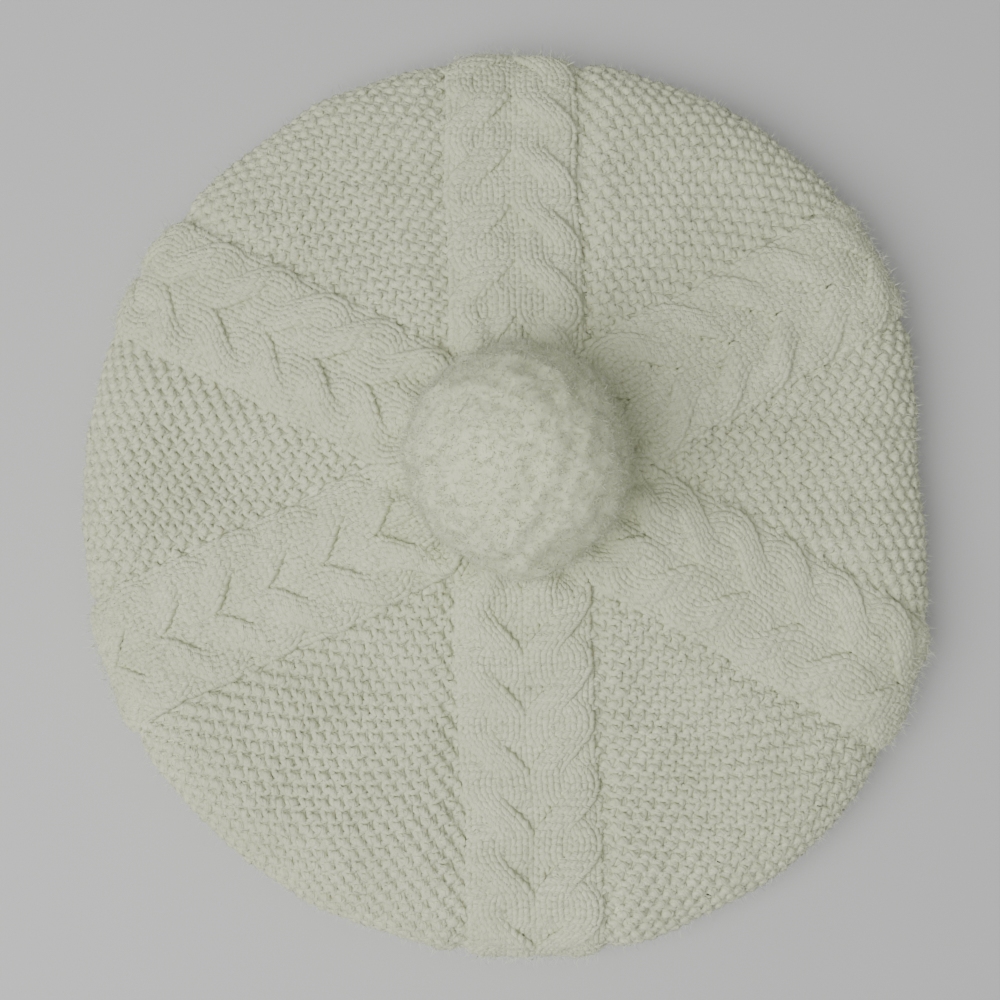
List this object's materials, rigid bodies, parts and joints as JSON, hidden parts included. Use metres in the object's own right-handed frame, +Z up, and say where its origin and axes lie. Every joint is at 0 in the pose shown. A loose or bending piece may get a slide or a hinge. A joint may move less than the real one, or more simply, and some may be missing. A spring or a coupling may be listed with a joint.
{
  "type": "tam o' shanter",
  "caption": "Round flat knitted tam o' shanter with horseshoe cable panels between pearly wedges, a ribbed head band and a wool pompom.",
  "frame": {"origin": "centre of the footprint, on the surface that the hat lies on", "axes": "+Z up through the crown, +Y along the outline's longest way, towards the shorter cable panel"},
  "size_m": [0.2604, 0.2784, 0.0935],
  "materials": {
    "knit_wool": "undyed cream wool, softly fuzzy, moss stitch and cables",
    "rib_wool": "the same cream wool, knitted in rib",
    "pompom_wool": "cut cream wool, dense and matt"
  },
  "bodies": {
    "root": {"crown": "knit_wool", "band": "rib_wool", "pompom": "pompom_wool"}
  },
  "joints": []
}
